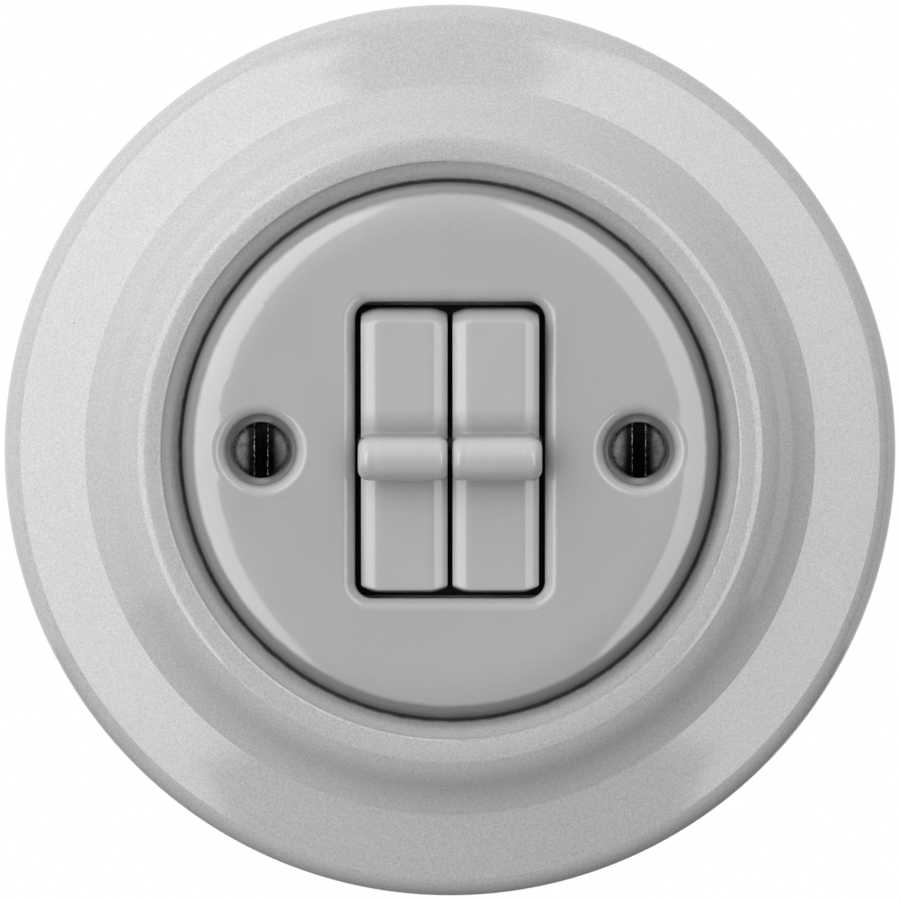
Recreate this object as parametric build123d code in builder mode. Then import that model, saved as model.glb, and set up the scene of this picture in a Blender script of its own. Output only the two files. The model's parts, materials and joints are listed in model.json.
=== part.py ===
from build123d import *
import math
import os

# Double toggle switch for a round wall box, in millimetres.
# The wall is the plane y = 0 and the front faces -Y; h below is the height in front of the wall.
# x runs to the right, z up, and the origin is on the wall at the centre of the round frame.

os.makedirs("parts", exist_ok=True)


# Outer frame: a glazed porcelain ring with a double-curved section
frame_r = 50.0
rim_wall_h = 1.2
rim_r, rim_h = 48.1, 3.93
flange_tilt = 20.0
throat_r, throat_h, throat_tilt = 40.8, 5.92, 27.0
neck_r, neck_h = 37.3, 8.75
collar_r, collar_h = 34.75, 10.7
crest_r, crest_h = 33.35, 10.88
lip_r, lip_h = 32.4, 10.8
funnel_r, funnel_h = 32.05, 10.45
frame_bore_r, bore_top_h = 30.1, 7.8
ledge_r, ledge_h, ledge_under_h = 27.0, 7.5, 4.5
foot_r = 46.5

# Cover plate: a porcelain disc that clamps the frame
cover_r = 29.75
cover_face_h, cover_crown = 13.0, 0.1
roll_start_r, roll_r = 24.65, 11.0
shoulder_r, cover_edge_h = 28.5, 10.5
cover_inner_h = 9.5
cover_wall = 2.4
window_w, window_l, window_corner = 21.1, 32.9, 1.9
window_mouth = 1.4
cover_screw_x = 21.0
recess_mouth_r, recess_seat_r, seat_h = 4.15, 3.5, 9.3
recess_mouth_round = 1.3
screw_boss_r, screw_boss_h = 4.9, 4.2
screw_hole_r = 1.95

# Cover screws: domed slotted heads
head_r, head_rim, head_dome = 3.12, 0.7, 1.3
head_slot_w, head_slot_deep = 1.55, 1.3
cover_shank_r, cover_shank_end_h = 1.7, -3.0

# Levers: porcelain caps that rock about one steel pin
pivot_h = 9.0
half_travel = 7.5
lever_gap, lever_w = 0.55, 9.6
cap_end_r = 15.85
cap_face_v, cap_skirt_v = 5.0, -2.5
cap_end_round = 2.1
roll_w, roll_drop, roll_blend, roll_edge = 1.35, 0.6, 4.0, 0.3
bar_r, bar_crest_v = 2.45, 10.0
bar_foot_round = 1.5
bar_overhang, bar_end_round, bar_inner_round = 0.3, 1.2, 0.9
cap_plate, cap_wall, cap_end_wall = 2.5, 1.7, 2.6
notch_r, notch_half = 2.45, 2.6

# Lever carriers, the pin, and the snap action behind them
pin_r, hub_bore_r, hub_r = 1.0, 1.05, 2.3
carrier_plate_l, carrier_plate_v = 16.0, 0.9
carrier_slack = 0.03
tube_r, tube_bore_r = 2.4, 1.66
tube_start_v, tube_end_v = -1.5, -10.5
plunger_r, nose_v, plunger_tail_v = 1.6, -13.0, -6.7
spring_coil_r, spring_wire_r, spring_turns = 1.25, 0.17, 6

# Contact rockers: V-bent strips that the plungers tip over
rocker_apex = 5.73
rocker_bend, rocker_tilt = 14.0, 8.0
rocker_w, rocker_half_l, rocker_t = 4.4, 9.0, 0.8
button_r, button_t, button_at = 1.2, 0.7, 7.4

# Fixed conductors and their screw terminals
terminal_x, terminal_w, terminal_l, terminal_t = 14.9, 6.4, 8.0, 6.6
terminal_front_y = 5.0
terminal_pitch = 12.5
wire_bore_r = 1.6
clamp_thread_r = 1.5
strip_w, strip_t = 4.4, 0.9
arm_w, tail_w = 2.0, 4.0
contact_gap = 0.16
post_w, cheek_t, cheek_gap = 4.4, 0.6, 0.15
terminal_head_r, terminal_head_t = 2.4, 1.5

# Insulating base, rear cover, support ring and rivets
base_x, base_z, base_end_y = 19.2, 21.0, 14.0
base_corner = 4.0
turret_x, turret_z, turret_h = 12.6, 16.0, 3.0
base_skin = 2.0
well_x0, well_x1, well_z = 1.0, 9.3, 17.4
slot_x, slot_z = 2.8, 4.4
ear_r, ear_x0, ear_x1, centre_ear_x = 2.0, 8.35, 10.25, 1.85
rear_t = 2.2
ring_r, ring_t = 35.5, 1.2
ring_slack = 0.3
boss_r, boss_h, boss_bore_r = 3.1, 4.0, 1.75
box_pitch, box_slot_r, box_slot_l = 60.0, 2.1, 7.4
rivet_x, rivet_z, rivet_r = 15.9, 18.3, 1.2
rivet_head_r, rivet_head_t = 2.2, 0.9

lever_x = lever_gap / 2 + lever_w / 2
tilt_sin = math.sin(math.radians(half_travel))
tilt_cos = math.cos(math.radians(half_travel))


def front(h):
    """A plane parallel to the wall at height h, with x to the right and z up."""
    return Plane.XZ.offset(h)


def section(x=0):
    """A section plane: local x is the distance from the axis at x, local y the height."""
    return Plane(origin=(x, 0, 0), x_dir=(1, 0, 0), z_dir=(0, 0, -1))


# The levers rest with their top end out, so their own planes are turned about the pin:
# u runs along the lever, v out of its face, both from the pin's axis.
pivot = (0, -pivot_h, 0)
lever_side = Plane(origin=pivot, x_dir=(0, -tilt_sin, tilt_cos), z_dir=(1, 0, 0))
lever_face = Plane(origin=pivot, x_dir=(1, 0, 0), z_dir=(0, -tilt_cos, -tilt_sin))

# The rockers rest tipped the other way, about the apex of their V.
rocker_turn = math.radians(-rocker_tilt)
rocker_pivot = (0, rocker_apex + rocker_t, 0)
rocker_side = Plane(
    origin=rocker_pivot,
    x_dir=(0, -math.sin(rocker_turn), math.cos(rocker_turn)),
    z_dir=(1, 0, 0),
)


def inward_slope(tilt):
    """Direction of a section that runs inward and climbs at the given tilt in degrees."""
    return (-math.cos(math.radians(tilt)), math.sin(math.radians(tilt)))


def make_frame():
    """Porcelain ring: rim, sloping flange, upswept throat and rounded lip."""
    with BuildPart() as ring:
        with BuildSketch(section()):
            with BuildLine():
                rim_low = (frame_r, rim_wall_h)
                Line((frame_r, 0), rim_low)
                TangentArc(rim_low, (rim_r, rim_h), tangent=(0, 1))
                Spline(
                    (rim_r, rim_h),
                    (45.5, 4.7),
                    (43.0, 5.3),
                    (throat_r, throat_h),
                    tangents=(inward_slope(flange_tilt), inward_slope(flange_tilt - 1)),
                )
                throat = TangentArc(
                    (throat_r, throat_h), (neck_r, neck_h), tangent=inward_slope(throat_tilt)
                )
                shoulder = TangentArc((neck_r, neck_h), (collar_r, collar_h), tangent=throat % 1)
                top = Spline(
                    (collar_r, collar_h),
                    (34.3, 10.81),
                    (crest_r, crest_h),
                    (lip_r, lip_h),
                    tangents=(shoulder % 1, inward_slope(-9)),
                )
                TangentArc((lip_r, lip_h), (funnel_r, funnel_h), tangent=top % 1)
                Polyline(
                    (funnel_r, funnel_h),
                    (frame_bore_r, bore_top_h),
                    (frame_bore_r, ledge_h),
                    (ledge_r, ledge_h),
                    (ledge_r, ledge_under_h),
                    (frame_bore_r + 0.9, ledge_under_h),
                    (crest_r, crest_h - 3.4),
                    (neck_r - 0.6, neck_h - 2.6),
                    (throat_r + 0.8, throat_h - 3.2),
                    (foot_r - 1.0, 1.4),
                    (foot_r, 0),
                    (frame_r, 0),
                )
            make_face()
        revolve(axis=Axis.Y)
        inner = ring.edges().filter_by(GeomType.CIRCLE).filter_by(
            lambda e: abs(e.radius - ledge_r) < 0.01
        )
        fillet(inner, 0.5)
        foot = ring.edges().filter_by(GeomType.CIRCLE).filter_by(
            lambda e: abs(e.center().Y) < 0.01
        )
        fillet(foot, 0.4)
    return ring.part


def cover_top(r):
    """Height of the cover's face at a radius: a faint crown that starts to roll near the edge."""
    roll = max(0, r - roll_start_r)
    drop = roll_r - math.sqrt(roll_r**2 - roll**2)
    return cover_face_h + cover_crown * (1 - r / cover_r) - drop


def make_cover():
    """Hollow porcelain disc with a lever window, two screw recesses and their bosses."""
    with BuildPart() as disc:
        with BuildSketch(section()):
            with BuildLine():
                shoulder_tilt = math.asin((shoulder_r - roll_start_r) / roll_r)
                crown = Spline(
                    *[(r, cover_top(r)) for r in (0, 12, 19, 23, 25, 26.5, 27.6, shoulder_r)],
                    tangents=((1, 0), (math.cos(shoulder_tilt), -math.sin(shoulder_tilt))),
                )
                TangentArc(crown @ 1, (cover_r, cover_edge_h), tangent=crown % 1)
                Polyline(
                    (cover_r, cover_edge_h),
                    (cover_r, ledge_h),
                    (cover_r - cover_wall, ledge_h),
                    (cover_r - cover_wall - 0.5, cover_inner_h - 0.9),
                    (cover_r - cover_wall - 2.2, cover_inner_h),
                    (0, cover_inner_h),
                    crown @ 0,
                )
            make_face()
        revolve(axis=Axis.Y)
        with BuildSketch(front(screw_boss_h)):
            with Locations((-cover_screw_x, 0), (cover_screw_x, 0)):
                Circle(screw_boss_r)
        extrude(amount=cover_inner_h - screw_boss_h + 0.4)
        with BuildSketch(front(0)):
            RectangleRounded(window_w, window_l, window_corner)
        extrude(amount=cover_face_h + 5, mode=Mode.SUBTRACT)
        for side in (-1, 1):
            recess = Plane(
                origin=(side * cover_screw_x, -seat_h, 0), x_dir=(1, 0, 0), z_dir=(0, -1, 0)
            )
            with BuildSketch(recess):
                Circle(recess_seat_r)
            with BuildSketch(recess.offset(cover_face_h - seat_h + 2)):
                slope = (recess_mouth_r - recess_seat_r) / (cover_face_h - seat_h)
                Circle(recess_mouth_r + 2 * slope)
            loft(mode=Mode.SUBTRACT)
            with BuildSketch(front(0)):
                with Locations((side * cover_screw_x, 0)):
                    Circle(screw_hole_r)
            extrude(amount=seat_h + 1, mode=Mode.SUBTRACT)
        seat_y = -(seat_h + 0.5)
        mouths = disc.edges().filter_by(
            lambda e: e.bounding_box().max.Y < -12.2
            and abs(abs(e.bounding_box().center().X) - cover_screw_x) < 1.5
        )
        fillet(mouths, recess_mouth_round)
        window_edges = disc.edges().filter_by(
            lambda e: e.center().Y < seat_y - 2
            and abs(e.center().X) < window_w / 2 + 0.01
            and abs(e.center().Z) < window_l / 2 + 0.01
        )
        fillet(window_edges, window_mouth)
    return disc.part


def make_cover_screws():
    """Two domed slotted machine screws."""
    with BuildPart() as screws:
        for side in (-1, 1):
            dome_ball = (head_r**2 + head_dome**2) / (2 * head_dome)
            with BuildSketch(section(side * cover_screw_x)):
                with BuildLine():
                    rim_h0 = seat_h + head_rim
                    dome = RadiusArc((head_r, rim_h0), (0, rim_h0 + head_dome), -dome_ball)
                    Polyline(
                        dome @ 1,
                        (0, cover_shank_end_h),
                        (cover_shank_r - 0.4, cover_shank_end_h),
                        (cover_shank_r, cover_shank_end_h + 0.5),
                        (cover_shank_r, seat_h),
                        (head_r, seat_h),
                        dome @ 0,
                    )
                make_face()
            revolve(axis=Axis((side * cover_screw_x, 0, 0), (0, 1, 0)))
            top_h = seat_h + head_rim + head_dome
            with BuildSketch(front(top_h - head_slot_deep)):
                with Locations((side * cover_screw_x, 0)):
                    Rectangle(head_slot_w, 2 * head_r + 1)
            extrude(amount=head_slot_deep + 1, mode=Mode.SUBTRACT)
    return screws.part


def make_lever_cap():
    """Right-hand cap: arc-ended shell with a half-round grip bar across its face."""
    x0 = lever_gap / 2
    x1 = x0 + lever_w
    bar_centre_v = bar_crest_v - bar_r
    with BuildPart() as cap:
        with BuildSketch(lever_side.offset(x0)) as side:
            Circle(cap_end_r)
            with Locations((0, (cap_face_v + cap_skirt_v - 1) / 2)):
                Rectangle(3 * cap_end_r, cap_face_v - cap_skirt_v + 1, mode=Mode.INTERSECT)
            with Locations((0, (cap_face_v + bar_centre_v) / 2 - 0.5)):
                Rectangle(2 * bar_r, bar_centre_v - cap_face_v + 1)
            with Locations((0, bar_centre_v)):
                Circle(bar_r)
            corners = side.vertices().filter_by(
                lambda p: abs(abs(lever_side.to_local_coords(Vector(p)).X) - bar_r) > 1
                and lever_side.to_local_coords(Vector(p)).Y > cap_face_v - 0.01
            )
            fillet(corners, cap_end_round)
            feet = side.vertices().filter_by(
                lambda p: abs(abs(lever_side.to_local_coords(Vector(p)).X) - bar_r) < 0.01
                and abs(lever_side.to_local_coords(Vector(p)).Y - cap_face_v) < 0.01
            )
            fillet(feet, bar_foot_round)
        extrude(amount=lever_w)
        for edge_x, inward in ((x0, 1), (x1, -1)):
            flank = cap.faces().filter_by(lambda f: abs(f.center().X - edge_x) < 0.01)[0]
            border = cap.edges().filter_by(
                lambda e: abs(e.center().X - edge_x) < 0.01
                and lever_side.to_local_coords(e.center()).Y > cap_skirt_v - 0.99
            )
            chamfer(border, roll_drop, roll_w, reference=flank)
        for edge_x, radius in (
            (x0 + roll_w, roll_blend),
            (x1 - roll_w, roll_blend),
            (x0, roll_edge),
            (x1, roll_edge),
        ):
            crease = cap.edges().filter_by(
                lambda e: abs(e.center().X - edge_x) < 0.01
                and lever_side.to_local_coords(e.center()).Y > cap_skirt_v - 0.9
            )
            fillet(crease, radius)
        with BuildSketch(lever_face.offset(cap_skirt_v)):
            Rectangle(4 * lever_w, 4 * cap_end_r)
        extrude(amount=-2, mode=Mode.SUBTRACT)
    with BuildPart() as grip:
        with BuildSketch(lever_side.offset(x0)):
            with Locations((0, bar_centre_v)):
                Circle(bar_r - 0.05)
            with Locations((0, (cap_face_v + bar_centre_v) / 2)):
                Rectangle(2 * bar_r - 0.1, bar_centre_v - cap_face_v)
            with Locations((0, cap_face_v - 5)):
                Rectangle(2 * bar_r, 10, mode=Mode.SUBTRACT)
        extrude(amount=lever_w + bar_overhang)
        for end_x, radius in ((x1 + bar_overhang, bar_end_round), (x0, bar_inner_round)):
            tip = grip.edges().filter_by(
                lambda e: abs(e.center().X - end_x) < 0.01
                and lever_side.to_local_coords(e.center()).Y > cap_face_v + 0.1
            )
            fillet(tip, radius)
    with BuildPart() as lever:
        add(cap.part)
        add(grip.part)
        with BuildSketch(lever_side.offset(x0 + cap_wall)):
            Circle(cap_end_r - cap_end_wall)
            with Locations((0, (cap_face_v - cap_plate) / 2 - 10)):
                Rectangle(3 * cap_end_r, cap_face_v - cap_plate + 20, mode=Mode.INTERSECT)
        extrude(amount=lever_w - 2 * cap_wall, mode=Mode.SUBTRACT)
        with BuildSketch(lever_side.offset(x0 - 1)):
            Circle(notch_r)
            with Locations((0, -3)):
                Rectangle(2 * notch_half, 6)
        extrude(amount=lever_w + 2, mode=Mode.SUBTRACT)
    return lever.part


def make_carrier():
    """Right-hand plastic carrier: plate under the cap, pin hub and plunger tube."""
    inner_w = lever_w - 2 * cap_wall - 2 * carrier_slack
    start_x = lever_gap / 2 + cap_wall + carrier_slack
    plate_v = cap_face_v - cap_plate
    with BuildPart() as carrier:
        with BuildSketch(lever_side.offset(start_x)):
            with Locations((0, (plate_v + carrier_plate_v) / 2)):
                Rectangle(carrier_plate_l, plate_v - carrier_plate_v)
            Circle(hub_r)
        extrude(amount=inner_w)
        with BuildSketch(lever_face.offset(tube_end_v)):
            with Locations((lever_x, 0)):
                Circle(tube_r)
        extrude(amount=-tube_end_v)
        with BuildSketch(lever_face.offset(tube_end_v)):
            with Locations((lever_x, 0)):
                Circle(tube_bore_r)
        extrude(amount=tube_start_v - tube_end_v, mode=Mode.SUBTRACT)
        with BuildSketch(lever_side.offset(start_x - 1)):
            Circle(hub_bore_r)
        extrude(amount=inner_w + 2, mode=Mode.SUBTRACT)
    return carrier.part


def make_plunger():
    """Right-hand plunger: brass rod with a round nose."""
    with BuildPart() as plunger:
        with BuildSketch(lever_face.offset(nose_v)):
            with Locations((lever_x, 0)):
                Circle(plunger_r)
        extrude(amount=plunger_tail_v - nose_v)
        nose = lever_face.offset(nose_v).from_local_coords(Vector(lever_x, 0, 0))
        with Locations(nose):
            Sphere(plunger_r)
    return plunger.part


def make_spring():
    """Right-hand compression spring between the tube's end and the plunger."""
    length = tube_start_v - plunger_tail_v - 4 * spring_wire_r
    start = lever_face.offset(plunger_tail_v + 2 * spring_wire_r)
    foot = start.from_local_coords(Vector(lever_x, 0, 0))
    pitch = length / spring_turns
    with BuildPart() as spring:
        with BuildLine():
            coil = Helix(pitch, length, spring_coil_r, center=foot, direction=start.z_dir)
        with BuildSketch(Plane(origin=coil @ 0, z_dir=coil % 0)):
            Circle(spring_wire_r)
        sweep(path=coil, is_frenet=True)
    return spring.part


def make_rocker():
    """Right-hand contact rocker: strip bent to a shallow V, apex to the rear."""
    bend = math.radians(rocker_bend)
    half_z = rocker_half_l * math.cos(bend)
    rise = rocker_half_l * math.sin(bend)
    with BuildPart() as rocker:
        with BuildSketch(rocker_side.offset(lever_x - rocker_w / 2)):
            with BuildLine():
                Polyline(
                    (0, 0),
                    (half_z, rise),
                    (half_z - rocker_t * math.sin(bend), rise + rocker_t * math.cos(bend)),
                    (0, rocker_t / math.cos(bend)),
                    (-half_z + rocker_t * math.sin(bend), rise + rocker_t * math.cos(bend)),
                    (-half_z, rise),
                    (0, 0),
                )
            make_face()
        extrude(amount=rocker_w)
    return rocker.part


def make_rocker_buttons():
    """The right-hand rocker's two contact buttons, on the rear of its wings."""
    bend = math.radians(rocker_bend)
    with BuildPart() as buttons:
        for wing in (-1, 1):
            angle = rocker_turn + wing * bend
            along = Vector(0, -math.sin(angle), math.cos(angle)) * wing * button_at
            spot = Vector(*rocker_pivot) + Vector(lever_x, 0, 0) + along
            outward = Vector(0, math.cos(angle), math.sin(angle))
            with BuildSketch(Plane(origin=spot, x_dir=(1, 0, 0), z_dir=outward)):
                Circle(button_r)
            extrude(amount=button_t)
    return buttons.part


def button_rear(wing):
    """Rear face of a rocker button (y, z) when its own wing is tipped back."""
    angle = math.radians(wing * (rocker_bend - rocker_tilt))
    y = rocker_pivot[1] - wing * math.sin(angle) * button_at + math.cos(angle) * button_t
    z = wing * math.cos(angle) * button_at + math.sin(angle) * button_t
    return y, z


def terminal_block(at_z):
    """Brass terminal block with a wire bore from the rear and a screw hole from the side."""
    mid_y = terminal_front_y + terminal_l / 2
    with BuildPart() as block:
        with Locations((terminal_x, mid_y, at_z)):
            Box(terminal_w, terminal_l, terminal_t)
        chamfer(block.edges().filter_by(Axis.Y), 0.4)
        with BuildSketch(Plane.XZ.offset(-terminal_front_y - terminal_l)):
            with Locations((terminal_x, at_z)):
                Circle(wire_bore_r)
        extrude(amount=terminal_l - 1.5, mode=Mode.SUBTRACT)
        with BuildSketch(Plane.YZ.offset(terminal_x + terminal_w)):
            with Locations((mid_y + 0.5, at_z)):
                Circle(clamp_thread_r)
        extrude(amount=-terminal_w, mode=Mode.SUBTRACT)
    return block.part


def make_common_terminal():
    """Right-hand common conductor: terminal block, strip and the rocker's seat."""
    seat_y = rocker_pivot[1] + 0.02
    strip_y = terminal_front_y + 4.0
    reach = terminal_x - terminal_w / 2 - (lever_x - strip_w / 2) + 0.2
    with BuildPart() as common:
        add(terminal_block(0))
        with Locations((lever_x - strip_w / 2 + reach / 2, strip_y, 0)):
            Box(reach, strip_t, strip_w)
        with Locations((lever_x, (seat_y + strip_y) / 2, 0)):
            Box(post_w, strip_y - seat_y, 1.6)
        for side in (-1, 1):
            cheek_x = lever_x + side * (rocker_w / 2 + cheek_gap + cheek_t / 2)
            with Locations((cheek_x, strip_y - 2.2, 0)):
                Box(cheek_t, 4.4 + strip_t, 2.4)
        with Locations((lever_x, strip_y, 0)):
            Box(rocker_w + 2 * cheek_gap + 2 * cheek_t, strip_t, strip_w)
    return common.part


def make_fixed_contact(wing):
    """Right-hand fixed conductor with its terminal, at the upper or lower wing."""
    face_y, face_z = button_rear(wing)
    mid_y = face_y + contact_gap + button_t + strip_t / 2
    at_z = wing * terminal_pitch
    pad_x0, arm_x1 = lever_x - strip_w / 2, well_x1 - 0.2
    arm_x0, tail_x1 = arm_x1 - arm_w, terminal_x - terminal_w / 2 + 0.2
    arm_end = at_z + wing * tail_w / 2
    with BuildPart() as fixed:
        add(terminal_block(at_z))
        with Locations(((pad_x0 + arm_x1) / 2, mid_y, face_z)):
            Box(arm_x1 - pad_x0, strip_t, strip_w)
        with Locations(((arm_x0 + arm_x1) / 2, mid_y, (face_z + arm_end) / 2)):
            Box(arm_w, strip_t, abs(arm_end - face_z))
        with Locations(((arm_x0 + tail_x1) / 2, mid_y, at_z)):
            Box(tail_x1 - arm_x0, strip_t, tail_w)
    return fixed.part


def make_fixed_button(wing):
    """Right-hand fixed contact button, under the rocker's button."""
    face_y, face_z = button_rear(wing)
    with BuildPart() as button:
        with BuildSketch(front(-face_y - contact_gap)):
            with Locations((lever_x, face_z)):
                Circle(button_r)
        extrude(amount=-button_t)
    return button.part


def make_terminal_screws():
    """Six slotted clamp screws, driven in from the sides of the base."""
    mid_y = terminal_front_y + terminal_l / 2 + 0.5
    face_x = terminal_x + terminal_w / 2
    with BuildPart() as screws:
        for side in (-1, 1):
            for row in (-1, 0, 1):
                spot = (side * face_x, mid_y, row * terminal_pitch)
                out = Plane(origin=spot, x_dir=(0, 1, 0), z_dir=(side, 0, 0))
                with BuildSketch(out.offset(-terminal_w / 2 + wire_bore_r)):
                    Circle(clamp_thread_r - 0.05)
                extrude(amount=terminal_w / 2 - wire_bore_r)
                with BuildSketch(out):
                    Circle(terminal_head_r)
                extrude(amount=terminal_head_t)
                with BuildSketch(out.offset(terminal_head_t - 0.7)):
                    Rectangle(0.7, 2 * terminal_head_r + 1)
                extrude(amount=2, mode=Mode.SUBTRACT)
    return screws.part


def make_base():
    """Insulating base: wells for the mechanism, turret, ears for the pin, terminal bays."""
    with BuildPart() as base:
        with BuildSketch(front(0)):
            RectangleRounded(2 * base_x, 2 * base_z, base_corner)
        extrude(amount=-base_end_y)
        with BuildSketch(front(0)):
            RectangleRounded(2 * turret_x, 2 * turret_z, 2.0)
        extrude(amount=turret_h)
        for x0, x1 in ((-ear_x1, -ear_x0), (-centre_ear_x, centre_ear_x), (ear_x0, ear_x1)):
            with BuildSketch(Plane.YZ.offset(x0)):
                with Locations((-pivot_h, 0)):
                    Circle(ear_r)
                with Locations((-(pivot_h + turret_h) / 2, 0)):
                    Rectangle(pivot_h - turret_h, 2 * ear_r)
            extrude(amount=x1 - x0)
        for side in (-1, 1):
            well_mid = side * (well_x0 + well_x1) / 2
            with BuildSketch(front(turret_h - base_skin)):
                with Locations((well_mid, 0)):
                    RectangleRounded(well_x1 - well_x0, 2 * well_z - 4, 1.0)
            extrude(amount=-(turret_h - base_skin) - base_end_y, mode=Mode.SUBTRACT)
            with BuildSketch(front(turret_h)):
                with Locations((side * lever_x, 0)):
                    RectangleRounded(2 * slot_x, 2 * slot_z, 1.0)
            extrude(amount=-base_skin - 1, mode=Mode.SUBTRACT)
            for row in (-1, 0, 1):
                bay_mid = side * (base_x + well_x1 - 0.2) / 2
                bay_y = terminal_front_y - 0.2
                with BuildSketch(front(-bay_y)):
                    with Locations((bay_mid, row * terminal_pitch)):
                        Rectangle(base_x - well_x1 + 0.4, terminal_t + 0.5)
                extrude(amount=-(base_end_y - bay_y), mode=Mode.SUBTRACT)
        with BuildSketch(Plane.YZ.offset(-base_x)):
            with Locations((-pivot_h, 0)):
                Circle(pin_r + 0.02)
        extrude(amount=2 * base_x, mode=Mode.SUBTRACT)
        with BuildSketch(front(1)):
            with Locations(*[(sx * rivet_x, sz * rivet_z) for sx in (-1, 1) for sz in (-1, 1)]):
                Circle(rivet_r + 0.05)
        extrude(amount=-base_end_y - 2, mode=Mode.SUBTRACT)
    return base.part


def make_rear_cover():
    """Rear cover: closes the wells, with six wire holes and raised ribs between them."""
    with BuildPart() as rear:
        with BuildSketch(front(-base_end_y)):
            RectangleRounded(2 * base_x, 2 * base_z, base_corner)
            wires = [(sx * terminal_x, row * terminal_pitch) for sx in (-1, 1) for row in (-1, 0, 1)]
            with Locations(*wires):
                Circle(2.2, mode=Mode.SUBTRACT)
            with Locations(*[(sx * rivet_x, sz * rivet_z) for sx in (-1, 1) for sz in (-1, 1)]):
                Circle(rivet_r + 0.05, mode=Mode.SUBTRACT)
        extrude(amount=-rear_t)
        with BuildSketch(front(-base_end_y - rear_t)):
            for side in (-1, 1):
                with Locations((side * 9.6, 0)):
                    Rectangle(1.4, 2 * base_z - 9)
                for row in (-0.5, 0.5):
                    with Locations((side * 14.2, row * terminal_pitch)):
                        Rectangle(8.0, 1.4)
        extrude(amount=-2.4)
    return rear.part


def make_support_ring():
    """Pressed steel ring: mechanism opening, box-screw slots and bosses for the cover screws."""
    with BuildPart() as ring:
        with BuildSketch(front(0)):
            Circle(ring_r)
            RectangleRounded(
                2 * (turret_x + ring_slack), 2 * (turret_z + ring_slack), 2.2, mode=Mode.SUBTRACT
            )
            span = box_slot_l - 2 * box_slot_r
            with Locations((-box_pitch / 2, 0), (box_pitch / 2, 0)):
                SlotCenterToCenter(span, 2 * box_slot_r, mode=Mode.SUBTRACT)
            with Locations((0, -box_pitch / 2), (0, box_pitch / 2)):
                SlotCenterToCenter(span, 2 * box_slot_r, rotation=90, mode=Mode.SUBTRACT)
            with Locations(*[(sx * rivet_x, sz * rivet_z) for sx in (-1, 1) for sz in (-1, 1)]):
                Circle(rivet_r + 0.05, mode=Mode.SUBTRACT)
        extrude(amount=ring_t)
        with BuildSketch(front(ring_t)):
            with Locations((-cover_screw_x, 0), (cover_screw_x, 0)):
                Circle(boss_r)
        extrude(amount=boss_h - ring_t)
        with BuildSketch(front(-1)):
            with Locations((-cover_screw_x, 0), (cover_screw_x, 0)):
                Circle(boss_bore_r)
        extrude(amount=boss_h + 2, mode=Mode.SUBTRACT)
    return ring.part


def make_rivets():
    """Four rivets that hold ring, base and rear cover together."""
    rear_y = base_end_y + rear_t
    spots = [(sx * rivet_x, sz * rivet_z) for sx in (-1, 1) for sz in (-1, 1)]
    with BuildPart() as rivets:
        with BuildSketch(front(ring_t)):
            with Locations(*spots):
                Circle(rivet_r)
        extrude(amount=-ring_t - rear_y)
        with BuildSketch(front(ring_t)):
            with Locations(*spots):
                Circle(rivet_head_r)
        extrude(amount=rivet_head_t)
        with BuildSketch(front(-rear_y)):
            with Locations(*spots):
                Circle(rivet_head_r - 0.4)
        extrude(amount=-rivet_head_t)
    return rivets.part


def make_pin():
    """Steel pin through the three ears and both levers."""
    with BuildPart() as pin:
        with BuildSketch(Plane.YZ.offset(-ear_x1)):
            with Locations((-pivot_h, 0)):
                Circle(pin_r)
        extrude(amount=2 * ear_x1)
        chamfer(pin.edges().filter_by(GeomType.CIRCLE), 0.2)
    return pin.part


def save(part, name):
    """Write one named piece to its own file."""
    part.label = name
    export_step(part, f"parts/{name}.step")


save(make_frame(), "outer_frame")
save(make_cover(), "cover_plate")
save(make_cover_screws(), "cover_screws")
save(make_base(), "mechanism_base")
save(make_rear_cover(), "rear_cover")
save(make_support_ring(), "support_ring")
save(make_rivets(), "assembly_rivets")
save(make_pin(), "pivot_pin")
save(make_terminal_screws(), "terminal_screws")

# The left switch is the mirror image of the right one.
right_pieces = {
    "lever": make_lever_cap(),
    "lever_carrier": make_carrier(),
    "plunger": make_plunger(),
    "snap_spring": make_spring(),
    "contact_rocker": make_rocker(),
    "rocker_buttons": make_rocker_buttons(),
    "common_terminal": make_common_terminal(),
    "upper_fixed_contact": make_fixed_contact(1),
    "lower_fixed_contact": make_fixed_contact(-1),
    "upper_fixed_button": make_fixed_button(1),
    "lower_fixed_button": make_fixed_button(-1),
}
for piece, solid in right_pieces.items():
    save(solid, f"{piece}_right")
    save(mirror(solid, about=Plane.YZ), f"{piece}_left")
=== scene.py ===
# %% [markdown]
# # A double toggle switch in glazed porcelain
# The imported part already has every solid at its true size. This lesson gives it its
# finishes, adds the few things that are too fine for the solids, and lights it as a
# small object is lit in a studio. We start by loading the part and counting its pieces.

# %% Load the part
import json
import math

import bpy
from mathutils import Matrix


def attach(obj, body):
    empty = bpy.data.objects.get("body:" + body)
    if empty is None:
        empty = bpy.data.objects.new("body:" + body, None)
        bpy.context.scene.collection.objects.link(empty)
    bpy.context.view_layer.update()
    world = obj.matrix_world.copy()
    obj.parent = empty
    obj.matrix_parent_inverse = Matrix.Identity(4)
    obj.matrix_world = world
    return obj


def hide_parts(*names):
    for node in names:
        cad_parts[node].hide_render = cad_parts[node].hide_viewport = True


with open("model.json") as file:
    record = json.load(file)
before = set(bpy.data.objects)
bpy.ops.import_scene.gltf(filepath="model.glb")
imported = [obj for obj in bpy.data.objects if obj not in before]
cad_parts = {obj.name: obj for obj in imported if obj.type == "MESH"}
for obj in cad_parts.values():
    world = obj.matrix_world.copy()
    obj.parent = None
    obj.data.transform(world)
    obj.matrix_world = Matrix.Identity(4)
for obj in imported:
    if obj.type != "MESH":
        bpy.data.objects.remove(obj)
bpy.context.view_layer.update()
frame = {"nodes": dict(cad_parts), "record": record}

nodes = frame["nodes"]
print("pieces in the part:", len(nodes))

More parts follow.
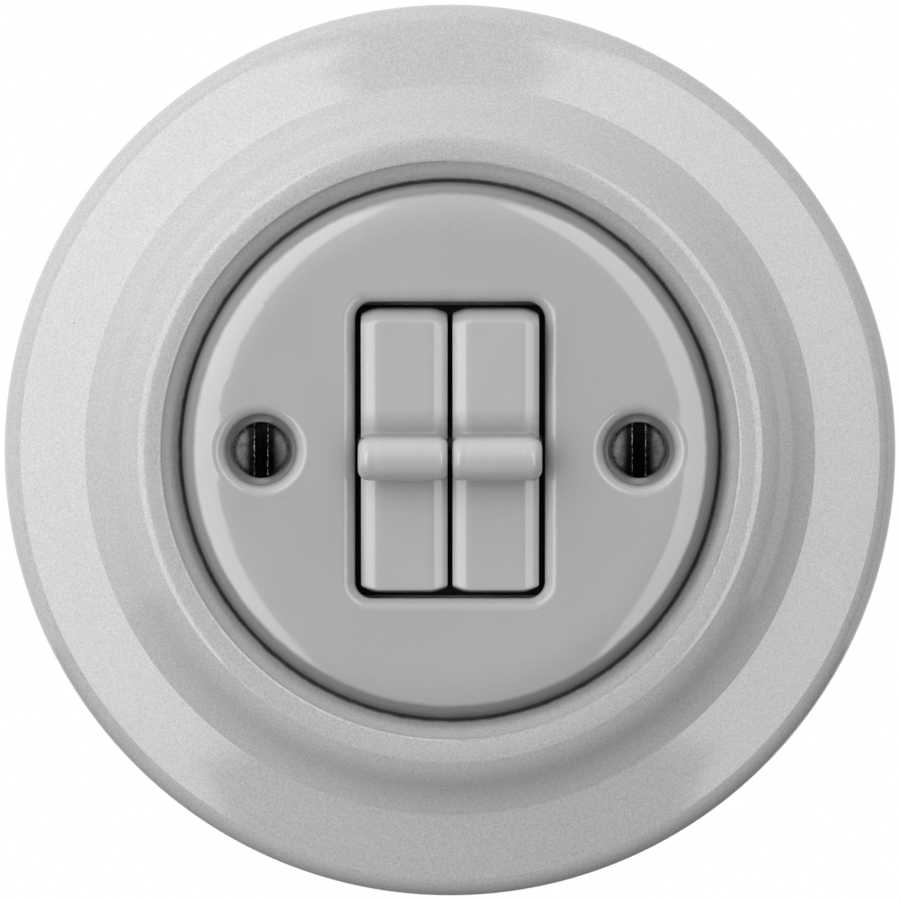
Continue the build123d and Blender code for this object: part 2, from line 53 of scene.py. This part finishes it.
# %% [markdown]
# Shader graphs are easier to read as formulas than as long lists of links. One small
# class wraps a socket, so that sums and products of sockets can be written as Python
# expressions. Any other node comes from one method that takes its type, its settings
# and its inputs.


# %% A socket that does sums
class Value:
    """A node socket that can be added, multiplied and compared like a number."""

    def __init__(self, tree, socket):
        self.tree, self.socket = tree, socket

    def make(self, kind, settings=None, out=0, **inputs):
        """Adds a node: settings are set first, then its named inputs are linked or set."""
        node = self.tree.nodes.new(kind)
        for key, value in (settings or {}).items():
            if key == "stops":
                ramp = node.color_ramp
                while len(ramp.elements) < len(value):
                    ramp.elements.new(0.5)
                for element, (place, level) in zip(ramp.elements, value):
                    element.position = place
                    element.color = (level, level, level, 1)
            else:
                setattr(node, key, value)
        for key, value in inputs.items():
            name = key.replace("_", " ")
            sockets = [s for s in node.inputs if s.name == name and s.enabled]
            target = sockets[0] if sockets else node.inputs[int(key[1:])]
            if isinstance(value, Value):
                self.tree.links.new(value.socket, target)
            else:
                target.default_value = value
        outputs = [s for s in node.outputs if s.enabled]
        return Value(self.tree, outputs[out])

    def math(self, operation, *others):
        inputs = {f"i{i}": v for i, v in enumerate((self, *others))}
        return self.make("ShaderNodeMath", {"operation": operation}, **inputs)

    def __add__(self, other):
        return self.math("ADD", other)

    def __sub__(self, other):
        return self.math("SUBTRACT", other)

    def __mul__(self, other):
        return self.math("MULTIPLY", other)

    def __truediv__(self, other):
        return self.math("DIVIDE", other)

    def __pow__(self, other):
        return self.math("POWER", other)

    __radd__ = __add__
    __rmul__ = __mul__

    def __rsub__(self, other):
        return self.make("ShaderNodeMath", {"operation": "SUBTRACT"}, i0=other, i1=self)

    def part(self, axis):
        """One coordinate of a place."""
        return self.make("ShaderNodeSeparateXYZ", {}, out="XYZ".index(axis), Vector=self)

    def clamp(self):
        return self.make("ShaderNodeClamp", {}, Value=self)

    def tint(self, low, high):
        """A colour between low and high, by this value."""
        colours = {"A": (*low, 1.0), "B": (*high, 1.0)}
        mix = self.tree.nodes.new("ShaderNodeMix")
        mix.data_type = "RGBA"
        self.tree.links.new(self.socket, mix.inputs["Factor"])
        for socket in mix.inputs:
            if socket.type == "RGBA":
                socket.default_value = colours[socket.name]
        return Value(self.tree, [s for s in mix.outputs if s.type == "RGBA"][0])


# %% [markdown]
# A finish is one material with a Principled shader. Numbers that are the same all over
# go straight onto its sockets. What varies, such as speckle or wear, reads the place on
# the object, so a pattern keeps its true size in metres and stays put from every side.


# %% A finish to start from
def finish(name, **constants):
    """A new material: returns it, its shader and a Value that holds the object's place."""
    material = bpy.data.materials.new(name)
    material.use_nodes = True
    tree = material.node_tree
    shader = tree.nodes["Principled BSDF"]
    for key, value in constants.items():
        socket = shader.inputs[key.replace("_", " ")]
        socket.default_value = (*value, 1.0) if isinstance(value, tuple) else value
    coords = tree.nodes.new("ShaderNodeTexCoord")
    return material, shader, Value(tree, coords.outputs["Object"])


def feed(shader, name, value):
    """Links a varying value to one of the shader's sockets."""
    value.tree.links.new(value.socket, shader.inputs[name])


def noise(place, scale, detail=2.0, roughness=0.5):
    """Soft noise of a given number of cells in a metre."""
    return place.make(
        "ShaderNodeTexNoise", {}, Vector=place, Scale=scale, Detail=detail, Roughness=roughness
    )


def bump(place, height, distance, strength=1.0, over=None):
    """A normal from a height worth the given distance in metres, over another normal."""
    under = {} if over is None else {"Normal": over}
    return place.make(
        "ShaderNodeBump", {}, Height=height, Distance=distance, Strength=strength, **under
    )


def steps(value, *stops):
    """A ramp between grey levels, as a single number."""
    return value.make("ShaderNodeValToRGB", {"stops": stops}, Fac=value)


# %% [markdown]
# The frame is fired clay under a light grey glaze. Close up the glaze isn't even: it is
# full of fine sandy specks with a few darker iron spots. Noise at three sizes gives the
# specks, and Voronoi cells cut down to their middles give the rare spots. Two rings follow
# the distance from the axis: painted shade in the joint round the cover, where the glaze is
# also rougher, and a painted lighter lip beside it. They are painted light and shade: the
# solids' curves alone make the lip darker and the cover's edge lighter than the real ones,
# so the two rings make up for it.


# %% A ramp over the distance from the axis
ramp_start, ramp_width = 0.028, 0.006


def by_radius(place, *stops):
    """Follows the distance from the switch's axis: 28 mm is 0 on the ramp, 34 mm is 1."""
    x, z = place.part("X"), place.part("Z")
    radius = (x * x + z * z).math("SQRT")
    uneven = (noise(place, 500, 3.0, 0.6) - 0.5) * 0.06
    return steps((radius - ramp_start) / ramp_width + uneven, *stops)


# %% The speckled glaze of the frame
def frame_glaze():
    material, shader, place = finish("speckled_frame_glaze", IOR=1.64)
    fine = noise(place, 5600, 1.0)
    sand = noise(place, 2600, 2.0, 0.6)
    cloud = noise(place, 45, 3.0)
    cells = place.make(
        "ShaderNodeTexVoronoi", {"feature": "F1"}, Vector=place, Scale=620.0, Randomness=1.0
    )
    lottery = place.make(
        "ShaderNodeTexVoronoi",
        {"feature": "F1"},
        out=1,
        Vector=place,
        Scale=620.0,
        Randomness=1.0,
    )
    chosen = steps(lottery, (0.0, 0.0), (0.955, 0.0), (0.965, 1.0))
    spot = steps(cells, (0.0, 1.0), (0.10, 1.0), (0.17, 0.0)) * chosen
    grain = (fine - 0.5) * 1.2 + (sand - 0.5) * 0.35 + (cloud - 0.5) * 0.12
    # Painted shade in the joint, which also roughens the glaze, and a painted lighter lip.
    painted_shade = by_radius(place, (0.0, 1.0), (0.33, 1.0), (0.36, 0.8), (0.40, 0.0))
    painted_lip_light = by_radius(place, (0.0, 0.0), (0.36, 0.0), (0.41, 1.0), (0.53, 0.75), (0.75, 0.0))
    shade = (grain + 1.9 - spot * 0.45) * 0.235 * (1.0 - painted_shade * 0.9) * (1.0 + painted_lip_light * 0.6)
    feed(shader, "Base Color", shade.tint((0.0, 0.0, 0.0), (1.0, 1.0, 0.994)))
    feed(shader, "Roughness", (sand - 0.5) * 0.08 + 0.115 + spot * 0.15 + painted_shade * 0.5)
    dents = (fine - 0.5) * 0.3 + (sand - 0.5) * 0.12 - spot * 0.6
    feed(shader, "Normal", bump(place, dents, 0.000016, 0.5))
    return material


finishes = {"frame_glaze": frame_glaze()}
print("finishes:", list(finishes))

# %% [markdown]
# The cover and the lever caps are cast in the same body but wear a darker glaze, which
# is smooth and even. What is left to see is a faint cloudiness, a very slight ripple of
# the melt, and now and then a pinhole. On the caps a Bevel node turns the normals near an
# edge, so that they look a little rounder than their mesh. A band of painted shade above the
# grip bar stands in for the hollow curve of the real one, which the solid doesn't have, and a
# ring of painted shade darkens the cover's steep edge. The two finishes share one recipe with
# their own colours and painted shade, which also makes the glaze rougher where it lies.


# %% The smooth glaze of the cover and the levers
def smooth_glaze(name, colour, seed, painted_shade_on, pooling=0):
    material, shader, place = finish(name, IOR=1.64)
    moved = place.make(
        "ShaderNodeVectorMath", {"operation": "ADD"}, i0=place, i1=(seed, seed / 2, seed / 3)
    )
    ripple = noise(moved, 260, 2.0)
    cloud = noise(moved, 70, 3.0)
    fine = noise(moved, 3600, 1.0)
    cells = place.make("ShaderNodeTexVoronoi", {"feature": "F1"}, Vector=moved, Scale=330.0)
    pin = steps(cells, (0.0, 1.0), (0.045, 0.6), (0.07, 0.0))
    # The mask is painted shade: it darkens the colour and roughens the glaze.
    painted_shade = painted_shade_on(place)
    shade = (cloud - 0.5) * 0.07 + (fine - 0.5) * 0.05 + 0.5 - pin * 0.05
    high = tuple(c * 2 for c in colour)
    feed(shader, "Base Color", (shade * (1.0 - painted_shade * 0.9)).tint((0, 0, 0), high))
    feed(shader, "Roughness", (cloud - 0.5) * 0.05 + 0.10 + pin * 0.2 + painted_shade * 0.7)
    melted = None
    if pooling:
        melted = place.make("ShaderNodeBevel", {"samples": 8}, Radius=pooling)
    feed(shader, "Normal", bump(place, ripple * 0.8 - pin * 0.5, 0.000012, 0.6, melted))
    return material


# Painted shade on the cover's steep outer edge, which also roughens the glaze there.
def painted_shade_at_edge(place):
    return by_radius(
        place, (0.03, 0.0), (0.10, 0.55), (0.2, 0.55), (0.267, 0.75), (0.317, 0.95)
    )


def painted_shade_over_bar(place):
    """A soft band of painted shade on the cap, from 1 to 4 mm above the middle, where the bar
    stands.
    """
    height = place.part("Z") / 0.006 + (noise(place, 400) - 0.5) * 0.08
    return steps(
        height, (0.0, 0.0), (0.18, 0.0), (0.26, 0.30), (0.38, 0.38), (0.53, 0.24), (0.76, 0.0)
    )


finishes["cover_glaze"] = smooth_glaze(
    "smooth_cover_glaze", (0.385, 0.385, 0.383), 0.3, painted_shade_at_edge
)
finishes["lever_glaze"] = smooth_glaze(
    "smooth_lever_glaze", (0.43, 0.43, 0.428), 0.8, painted_shade_over_bar, pooling=0.00055
)

# %% [markdown]
# The metals differ in how they were worked: plated sheet is cloudy, ground steel has fine
# lines, and stamped brass has long scratches and darker tarnish. Noise that is stretched
# along one axis makes lines and scratches, and plain noise makes tarnish and plating. They
# share one recipe, with a colour, a roughness and a stretch for each.


# %% Worked metals
def metal(name, colour, rough, stretch=(1, 1, 1), tarnish=0.25, grain=900.0):
    material, shader, place = finish(name, Metallic=1.0)
    stretched = place.make(
        "ShaderNodeVectorMath", {"operation": "MULTIPLY"}, i0=place, i1=stretch
    )
    lines = noise(stretched, grain, 3.0, 0.7)
    cloud = noise(place, 160, 4.0, 0.6)
    dark = (cloud * tarnish + (lines - 0.5) * 0.35).clamp()
    feed(shader, "Base Color", dark.tint(colour, tuple(c * 0.45 for c in colour)))
    feed(shader, "Roughness", (lines - 0.5) * 0.22 + rough + cloud * 0.1)
    feed(shader, "Normal", bump(place, lines, 0.000006, 0.5))
    return material


finishes["zinc_plate"] = metal("zinc_plated_sheet", (0.62, 0.63, 0.65), 0.34, (1, 1, 0.25), 0.3)
finishes["bright_steel"] = metal("ground_steel", (0.56, 0.56, 0.57), 0.24, (0.15, 1, 1), 0.2)
finishes["spring_steel"] = metal("drawn_spring_wire", (0.42, 0.42, 0.44), 0.3, (1, 1, 1), 0.4)
finishes["contact_brass"] = metal("stamped_brass", (0.74, 0.55, 0.27), 0.28, (1, 1, 0.12), 0.5)
finishes["contact_silver"] = metal("satin_silver", (0.82, 0.82, 0.80), 0.26, (1, 1, 1), 0.3)
finishes["zinc_screw"] = metal("zinc_plated_screw", (0.60, 0.60, 0.58), 0.3, (0.3, 1, 1), 0.35)

# %% [markdown]
# Pressed thermosetting plastic is dense and slightly waxy. It shows a fine flow marble,
# a satin skin where the tool was polished, and a dusting of wood-flour specks. The base
# is a black-brown moulding, kept this dark so that it also stands for the deep shade in the
# gaps round the caps; the rear cover is cream, and the carriers under the caps are black.


# %% Moulded plastics
def plastic(name, low, high, rough):
    material, shader, place = finish(name, IOR=1.55)
    marble = noise(place, 130, 5.0, 0.62)
    specks = noise(place, 2400, 2.0, 0.6)
    shade = ((marble - 0.5) * 1.4 + (specks - 0.5) * 0.7 + 0.5).clamp()
    feed(shader, "Base Color", shade.tint(low, high))
    feed(shader, "Roughness", (marble - 0.5) * 0.2 + rough)
    feed(shader, "Normal", bump(place, specks + marble * 0.6, 0.000012, 0.5))
    return material


# Black-brown moulding, dark enough to stand in for the shade in the gaps round the caps.
finishes["insulator"] = plastic(
    "black_brown_moulding", (0.016, 0.013, 0.011), (0.040, 0.033, 0.029), 0.38
)
finishes["rear_insulator"] = plastic(
    "cream_moulding", (0.60, 0.555, 0.47), (0.72, 0.68, 0.60), 0.42
)
finishes["lever_plastic"] = plastic(
    "black_carrier_moulding", (0.012, 0.012, 0.013), (0.030, 0.030, 0.032), 0.4
)

# %% [markdown]
# The two cover screws are burnished nearly black. The driver has scraped the edges of
# their slots bright and left fine scars beside them, and the rims are rubbed. Both sit
# on the same height, so the distance from a screw's axis comes from the absolute value
# of x, and thin bands of that distance are where the bright scars go. The outer thirds of
# each head are painted lighter, as a painted reflection of the soft boxes on the dome.

# %% Burnished screws with scraped slots
screw_x = 0.021


def burnished_screw():
    material, shader, place = finish("burnished_screw", Metallic=1.0)
    sideways = (place.part("X").math("ABSOLUTE") - screw_x).math("ABSOLUTE")
    upright = place.part("Z")
    radius = (sideways * sideways + upright * upright).math("SQRT")
    grit = noise(place, 5200, 3.0, 0.7)
    blotch = noise(place, 900, 4.0, 0.6)
    near_slot = steps(sideways * 1000, (0.0, 0.0), (0.69, 0.0), (0.72, 0.8), (0.86, 0.0))
    near_rim = steps(radius * 250, (0.0, 0.0), (0.735, 0.0), (0.76, 0.4), (0.79, 0.0))
    front = steps(place.part("Y") * -100, (0.0, 0.0), (0.99, 0.0), (1.0, 1.0))
    scraped = steps(grit, (0.0, 0.0), (0.47, 0.0), (0.66, 0.8))
    bright = ((near_slot + near_rim) * scraped * front).clamp()
    worn = steps(blotch, (0.0, 0.0), (0.5, 0.0), (0.75, 0.35)) * scraped
    # Painted reflection: the outer thirds of the head are lighter, as where the soft boxes
    # mirror.
    outer_painted_reflection = steps(sideways * 333, (0.0, 0.0), (0.43, 0.0), (0.60, 0.075), (1.0, 0.11))
    shade = (bright + worn * 0.1 + outer_painted_reflection * (blotch * 1.5 + (grit - 0.5) * 1.5)).clamp()
    feed(shader, "Base Color", shade.tint((0.006, 0.006, 0.0062), (0.76, 0.76, 0.75)))
    feed(shader, "Roughness", (grit - 0.5) * 0.25 + 0.17 + blotch * 0.06)
    feed(shader, "Normal", bump(place, grit + bright * 0.8, 0.00002, 0.6))
    return material


finishes["dark_screw"] = burnished_screw()

# %% [markdown]
# The part's record names a material slot for every piece. Each finish is kept under the
# name of its slot, so one loop dresses all pieces and none is forgotten.

# %% Put each finish on the pieces of its slot
for subpart in frame["record"]["subparts"]:
    piece = nodes[subpart["node"]]
    piece.data.materials.clear()
    piece.data.materials.append(finishes[subpart["material_slot"]])

# %% [markdown]
# The solid screws are plain cylinders with a dome. The real head is flatter, its slot has
# crisp bevelled lips, and the shank carries a thread. The head starts as a cylinder whose
# front face is inset and pushed out step by step along an arc. A block then cuts the slot,
# and a Bevel modifier breaks the edges.


# %% Helpers for modelling by hand
def only(piece):
    """Selects this piece alone and makes it active."""
    bpy.ops.object.select_all(action="DESELECT")
    piece.select_set(True)
    bpy.context.view_layer.objects.active = piece


def settle(piece):
    """Puts the piece's place, turn and scale into its mesh."""
    only(piece)
    bpy.ops.object.transform_apply(location=True, rotation=True, scale=True)


def apply_modifier(piece, kind, **settings):
    only(piece)
    modifier = piece.modifiers.new(kind.title(), kind)
    for key, value in settings.items():
        setattr(modifier, key, value)
    bpy.ops.object.modifier_apply(modifier=modifier.name)


def edit(piece):
    only(piece)
    bpy.ops.object.mode_set(mode="EDIT")


def done():
    bpy.ops.object.mode_set(mode="OBJECT")


# %% The head: a cylinder, a dome, a slot
seat, rim, dome, head_r = 0.0093, 0.0007, 0.0005, 0.00312
bpy.ops.mesh.primitive_cylinder_add(
    vertices=72, radius=head_r, depth=rim, location=(screw_x, -seat - rim / 2, 0),
    rotation=(math.radians(90), 0, 0),
)
screw = bpy.context.object
screw.name = "cover_screw_right"
settle(screw)
ball = (head_r**2 + dome**2) / (2 * dome)
edit(screw)
bpy.ops.mesh.select_all(action="DESELECT")
done()
front_face = min(screw.data.polygons, key=lambda f: f.center.y)
front_face.select = True
edit(screw)
bpy.context.tool_settings.mesh_select_mode = (False, False, True)
radii = [head_r * math.cos(math.radians(a)) for a in (15, 32, 48, 62, 74, 84)]
last_r, last_h = head_r, 0.0
for r in radii:
    height = math.sqrt(ball**2 - r**2) - (ball - dome)
    bpy.ops.mesh.inset(thickness=last_r - r, depth=0)
    bpy.ops.transform.translate(value=(0, -(height - last_h), 0))
    last_r, last_h = r, height
done()
print("screw head:", len(screw.data.polygons), "faces")

# %% The slot and its bevelled lips
slot_width, slot_depth = 0.0014, 0.00105
bpy.ops.mesh.primitive_cube_add(size=1, location=(screw_x, -seat - rim - dome, 0))
block = bpy.context.object
block.scale = (slot_width, 2 * slot_depth, 0.008)
settle(block)
apply_modifier(screw, "BOOLEAN", operation="DIFFERENCE", object=block, solver="EXACT")
bpy.data.objects.remove(block)
apply_modifier(screw, "BEVEL", width=0.00006, segments=2, limit_method="ANGLE", angle_limit=0.7)

# %% [markdown]
# The thread is a small triangle that the Screw modifier winds round the shank. A turned
# profile could make it too, but a winding keeps its pitch as one number. The shank stays a
# plain cylinder with a broken end, and the ridge is sunk slightly into it.

# %% The shank and its thread
shank_r, shank_end, pitch = 0.00145, 0.003, 0.0006
ridge_height, ridge_width, ridge_lift = 0.00024, 0.00030, 0.00005
bpy.ops.mesh.primitive_cylinder_add(
    vertices=48, radius=shank_r, depth=seat + shank_end,
    location=(screw_x, -(seat - shank_end) / 2, 0), rotation=(math.radians(90), 0, 0),
)
shank = bpy.context.object
settle(shank)
apply_modifier(shank, "BEVEL", width=0.0003, segments=2, limit_method="ANGLE", angle_limit=0.7)
bpy.ops.mesh.primitive_circle_add(vertices=3, radius=1, location=(0, 0, 0))
ridge = bpy.context.object
edit(ridge)
bpy.ops.mesh.select_all(action="SELECT")
bpy.ops.transform.rotate(
    value=math.radians(90), orient_axis="Z", center_override=(0, 0, 0), orient_type="GLOBAL"
)
done()
ridge.scale = (ridge_height, ridge_width, 1)
settle(ridge)
ridge.location = (shank_r + ridge_lift, 0, 0)
settle(ridge)
apply_modifier(
    ridge, "SCREW", axis="Y", angle=math.radians(360), screw_offset=pitch, iterations=8,
    steps=32, render_steps=32, use_merge_vertices=True, use_normal_calculate=True,
)
edit(ridge)
bpy.ops.mesh.select_all(action="SELECT")
bpy.ops.mesh.fill_holes(sides=4)
bpy.ops.mesh.select_all(action="SELECT")
bpy.ops.mesh.normals_make_consistent(inside=False)
done()
low = min(v.co.y for v in ridge.data.vertices)
high = max(v.co.y for v in ridge.data.vertices)
ridge.location = (screw_x, shank_end - 0.0005 - high, 0)
settle(ridge)
print("thread length:", round((high - low) * 1000, 2), "mm")

# %% [markdown]
# Both screws are alike, so one is made and copied with a mesh of its own. They ride on the
# fixed body and stand for the two solids of the node cover_screws.

# %% Join the right screw and copy it to the left
bpy.ops.object.select_all(action="DESELECT")
for part in (ridge, shank, screw):
    part.select_set(True)
bpy.context.view_layer.objects.active = screw
bpy.ops.object.join()
only(screw)
bpy.ops.object.shade_smooth_by_angle(angle=math.radians(30))
only(screw)
bpy.ops.object.duplicate(linked=False)
twin = bpy.context.object
twin.name = "cover_screw_left"
twin.location = (-2 * screw_x, 0, 0)
settle(twin)
for piece in (screw, twin):
    piece.data.materials.clear()
    piece.data.materials.append(finishes["dark_screw"])
    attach(piece, "fixed_parts")
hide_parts("cover_screws")

# %% [markdown]
# A CAD node comes as loose triangles, so a curved glaze would show its facets. Shading
# by angle smooths what is nearly flat and keeps true edges crisp. It changes no vertex.

# %% Smooth the curved faces
for piece in nodes.values():
    only(piece)
    bpy.ops.object.shade_smooth_by_angle(angle=math.radians(28))
bpy.ops.object.select_all(action="DESELECT")

# %% [markdown]
# ## The studio
# The photograph is taken from straight in front with a long lens, between two large soft
# boxes, and cut out on white. Each soft box leaves one crescent on every curve that leans
# its way, so their size, place and lean follow from where those bright bands begin and end.
# Area lights do the same here: they are flat, face the wall and aren't seen directly.


# %% Soft boxes
def soft_box(name, across, upright, width, height, lean, level):
    """A flat light parallel to the wall; all measures are per metre of its distance."""
    lamp = bpy.data.lights.new(name, "AREA")
    lamp.shape = "RECTANGLE"
    lamp.size, lamp.size_y = width * far, height * far
    lamp.energy = level * math.pi * lamp.size * lamp.size_y
    box = bpy.data.objects.new(name, lamp)
    bpy.context.collection.objects.link(box)
    box.location = (across * far, -far, upright * far)
    box.rotation_euler = (math.radians(90), math.radians(lean), 0)
    box.visible_camera = False
    return box


far = 0.6
soft_box("left_soft_box", -0.66, 0.05, 0.70, 1.55, 10.2, 2.5)
soft_box("right_soft_box", 0.61, 0.06, 0.60, 1.55, -12.7, 2.3)
print("soft boxes at", far, "m in front of the wall")

# %% [markdown]
# The world is white where the camera or a glass looks at it, and where a shiny face
# mirrors what lies behind the wall plane. For everything else it is a soft fill that
# comes from above and from the left, which gives the ring its light and shaded sides.
# The floor is a pale sheet. It lies well below the object, because a floor close under it
# would hide part of the soft boxes from the glaze, so it takes only a very faint shadow.

# %% World and floor
world = bpy.data.worlds.new("studio_world")
bpy.context.scene.world = world
world.use_nodes = True
sky = world.node_tree
for node in list(sky.nodes):
    sky.nodes.remove(node)
rays = sky.nodes.new("ShaderNodeLightPath")
where = sky.nodes.new("ShaderNodeTexCoord")
along = sky.nodes.new("ShaderNodeSeparateXYZ")
sky.links.new(where.outputs["Generated"], along.inputs[0])
behind = Value(sky, along.outputs["Y"]).math("GREATER_THAN", 0.0)
looks = Value(sky, rays.outputs["Is Camera Ray"])
seen = looks.math("MAXIMUM", Value(sky, rays.outputs["Is Transmission Ray"]))
seen = seen.math("MAXIMUM", Value(sky, rays.outputs["Is Glossy Ray"]) * behind)
from_left = (Value(sky, along.outputs["X"]) * -1.0).math("MAXIMUM", 0.0)
from_above = Value(sky, along.outputs["Z"]).math("MAXIMUM", 0.0)
level = from_above * 1.1 + from_left * 1.15 + 0.02
fill = looks.make("ShaderNodeBackground", {}, Color=(1, 1, 1, 1), Strength=level)
white = looks.make("ShaderNodeBackground", {}, Color=(1, 1, 1, 1), Strength=1.0)
both = looks.make("ShaderNodeMixShader", {}, i0=seen, i1=fill, i2=white)
output = sky.nodes.new("ShaderNodeOutputWorld")
sky.links.new(both.socket, output.inputs["Surface"])

bpy.ops.mesh.primitive_plane_add(size=1.8, location=(0, 0, -0.45))
floor = bpy.context.object
floor.name = "floor"
floor_paint, floor_shader, floor_place = finish("pale_floor", Roughness=0.6)
floor_grain = noise(floor_place, 60)
pale = floor_grain.tint((0.78, 0.78, 0.78), (0.84, 0.84, 0.84))
floor_rays = floor_paint.node_tree.nodes.new("ShaderNodeLightPath")
to_camera = Value(floor_paint.node_tree, floor_rays.outputs["Is Camera Ray"])
quiet = floor_place.make(
    "ShaderNodeVectorMath", {"operation": "SCALE"}, i0=pale, Scale=to_camera * 0.85 + 0.15
)
feed(floor_shader, "Base Color", quiet)
floor.data.materials.append(floor_paint)

# %% [markdown]
# The picture is flat and without perspective, as from a long lens. A camera one metre away
# with a narrow view gives that, and its focal length sets how large the frame is.

# %% Camera straight in front
lens = bpy.data.cameras.new("front_camera")
lens.lens = 356
lens.sensor_width = 36
lens.clip_start = 0.01
eye = bpy.data.objects.new("front_camera", lens)
bpy.context.collection.objects.link(eye)
eye.location = (0, -1.0, 0)
eye.rotation_euler = (math.radians(90), 0, 0)
bpy.context.scene.camera = eye
bpy.context.scene.view_settings.view_transform = "Standard"
